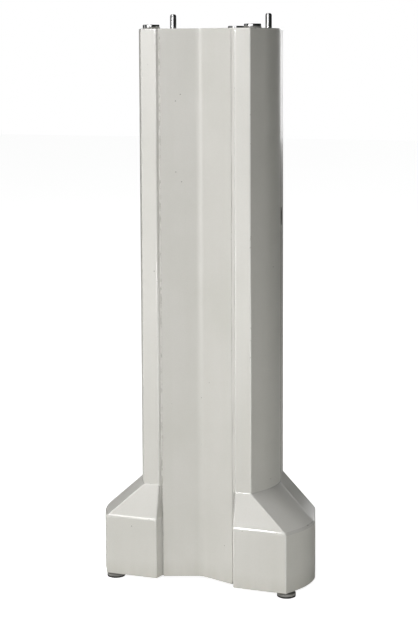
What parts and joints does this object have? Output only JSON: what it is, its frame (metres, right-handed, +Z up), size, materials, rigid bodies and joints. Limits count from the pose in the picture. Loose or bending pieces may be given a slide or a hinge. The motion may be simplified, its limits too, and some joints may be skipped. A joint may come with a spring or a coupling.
{
  "type": "security gate pedestal",
  "caption": "Hollow painted gate pedestal with two front lobes, a V-shaped front panel and flared feet on levelling pads; pins and support buttons on top.",
  "frame": {"origin": "on the floor at the centre of the footprint", "axes": "+Z up, the front panel faces -Y, +X is to the right seen from the front"},
  "size_m": [0.4004, 0.327, 1.044],
  "materials": {
    "paint": "semi-gloss warm light grey paint",
    "filler": "painted-over seam filler",
    "tape": "foam bonding tape",
    "chrome": "polished chrome",
    "pin_steel": "ground steel",
    "brass": "turned brass",
    "plate_paint": "satin paint",
    "primer": "grey primer",
    "rubber": "black rubber",
    "pad": "moulded dark grey plastic",
    "sensor_plastic": "moulded black plastic",
    "lens": "dark infra-red window",
    "zinc": "zinc plated steel"
  },
  "bodies": {
    "pedestal": {"body_shell": "paint", "front_panel": "paint", "top_plate": "plate_paint", "base_plate": "primer", "base_screws": "zinc", "cable_grommet": "rubber", "upright_plugs": "primer", "top_screws": "zinc", "button_nuts": "zinc", "sensor_bezel": "sensor_plastic", "sensor_lens": "lens", "sensor_module": "sensor_plastic", "sensor_bracket": "zinc", "bracket_screws": "zinc", "rear_cover": "paint", "rear_cover_screws": "zinc", "seam_bead_left": "filler", "panel_tape_left": "tape", "locating_pin_left": "pin_steel", "pin_bush_left": "brass", "seam_bead_right": "filler", "panel_tape_right": "tape", "locating_pin_right": "pin_steel", "pin_bush_right": "brass", "support_button_left": "chrome", "upright_left": "primer", "leveller_lock_nut_left": "zinc", "leveller_insert_left": "brass", "support_button_right": "chrome", "upright_right": "primer", "leveller_lock_nut_right": "zinc", "leveller_insert_right": "brass", "support_button_rear": "chrome", "upright_rear": "primer", "leveller_lock_nut_rear": "zinc", "leveller_insert_rear": "brass"},
    "leveller_foot_left": {"leveller_pad_left": "pad", "leveller_sole_left": "rubber"},
    "leveller_screw_left": {"leveller_stem_left": "zinc"},
    "leveller_foot_right": {"leveller_pad_right": "pad", "leveller_sole_right": "rubber"},
    "leveller_screw_right": {"leveller_stem_right": "zinc"},
    "leveller_foot_rear": {"leveller_pad_rear": "pad", "leveller_sole_rear": "rubber"},
    "leveller_screw_rear": {"leveller_stem_rear": "zinc"}
  },
  "joints": [
    {"name": "leveller_slide_left", "type": "slide", "parent": "pedestal", "child": "leveller_foot_left", "axis": [0, 0, -1], "range_m": [0, 0.02]},
    {"name": "leveller_turn_left", "type": "hinge", "parent": "leveller_foot_left", "child": "leveller_screw_left", "pos_m": [-0.166, -0.1365, 0.02], "axis": [0, 0, -1], "range_deg": [0, 4805]},
    {"name": "leveller_slide_right", "type": "slide", "parent": "pedestal", "child": "leveller_foot_right", "axis": [0, 0, -1], "range_m": [0, 0.02]},
    {"name": "leveller_turn_right", "type": "hinge", "parent": "leveller_foot_right", "child": "leveller_screw_right", "pos_m": [0.166, -0.1365, 0.02], "axis": [0, 0, -1], "range_deg": [0, 4805]},
    {"name": "leveller_slide_rear", "type": "slide", "parent": "pedestal", "child": "leveller_foot_rear", "axis": [0, 0, -1], "range_m": [0, 0.02]},
    {"name": "leveller_turn_rear", "type": "hinge", "parent": "leveller_foot_rear", "child": "leveller_screw_rear", "pos_m": [0, 0.1315, 0.02], "axis": [0, 0, -1], "range_deg": [0, 4805]}
  ],
  "couplings": [
    {"joint": "leveller_turn_left", "follows": "leveller_slide_left", "rad_per_m": 4188.8},
    {"joint": "leveller_turn_right", "follows": "leveller_slide_right", "rad_per_m": 4188.8},
    {"joint": "leveller_turn_rear", "follows": "leveller_slide_rear", "rad_per_m": 4188.8}
  ]
}
